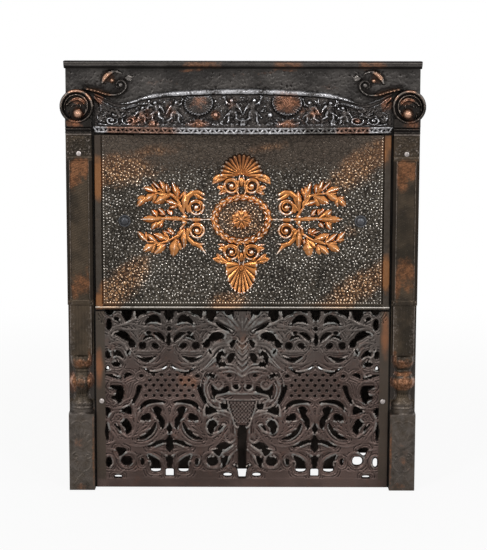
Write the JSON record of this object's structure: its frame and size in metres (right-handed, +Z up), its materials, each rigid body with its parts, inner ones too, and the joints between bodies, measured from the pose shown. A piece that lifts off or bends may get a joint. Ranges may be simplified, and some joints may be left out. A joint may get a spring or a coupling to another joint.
{
  "type": "cast iron fireplace",
  "caption": "Ornate cast iron fireplace front with a hammered upper panel, a pierced grille and a plain firebox with a damper behind.",
  "frame": {"origin": "on the hearth, in the middle of the opening, under the sill", "axes": "+Z up, -Y out of the front, +X to the right as seen from the front"},
  "size_m": [0.6345, 0.179, 0.762],
  "materials": {
    "front_iron": "dark bronzed casting with copper highlights",
    "bright_iron": "worn bright edge",
    "panel_iron": "hammered ground with copper patches",
    "copper_plate": "bright copper plating on iron",
    "knob_iron": "dark satin",
    "grille_iron": "dull oxidised copper plating",
    "plain_iron": "bare black casting",
    "burnt_iron": "heat-browned casting",
    "screw_steel": "worn dark steel"
  },
  "bodies": {
    "frame": {"left_jamb": "plain_iron", "right_jamb": "plain_iron", "hearth_sill": "plain_iron", "left_pilaster": "front_iron", "right_pilaster": "front_iron", "left_volute": "front_iron", "right_volute": "front_iron", "header_plate": "front_iron", "cornice": "front_iron", "hood_frieze": "front_iron", "perforated_band": "bright_iron", "pilaster_screws": "screw_steel", "header_bolts": "screw_steel", "hanger_brackets": "plain_iron", "hanger_rod": "screw_steel", "fireback": "burnt_iron", "upper_back": "burnt_iron", "left_cheek": "burnt_iron", "right_cheek": "burnt_iron", "throat_plate": "burnt_iron", "flue_collar": "plain_iron", "cheek_bolts": "screw_steel", "back_bolts": "screw_steel", "collar_bolts": "screw_steel"},
    "damper": {"damper_plate": "burnt_iron", "damper_rod": "screw_steel", "damper_handle": "screw_steel"},
    "panel": {"upper_panel": "panel_iron", "panel_ornament": "copper_plate", "panel_ears": "plain_iron", "panel_knobs": "knob_iron", "knob_nuts": "screw_steel"},
    "grille": {"lower_grille": "grille_iron", "grille_screws": "screw_steel"}
  },
  "joints": [
    {"name": "damper_turn", "type": "hinge", "parent": "frame", "child": "damper", "pos_m": [0, 0.052, 0.682], "axis": [1, 0, 0], "range_deg": [0, 60]},
    {"name": "panel_tilt", "type": "hinge", "parent": "frame", "child": "panel", "pos_m": [0, 0.006, 0.638], "axis": [-1, 0, 0], "range_deg": [0, 10]},
    {"name": "grille_pull", "type": "slide", "parent": "frame", "child": "grille", "axis": [0, -1, 0], "range_m": [0, 0.08]}
  ]
}
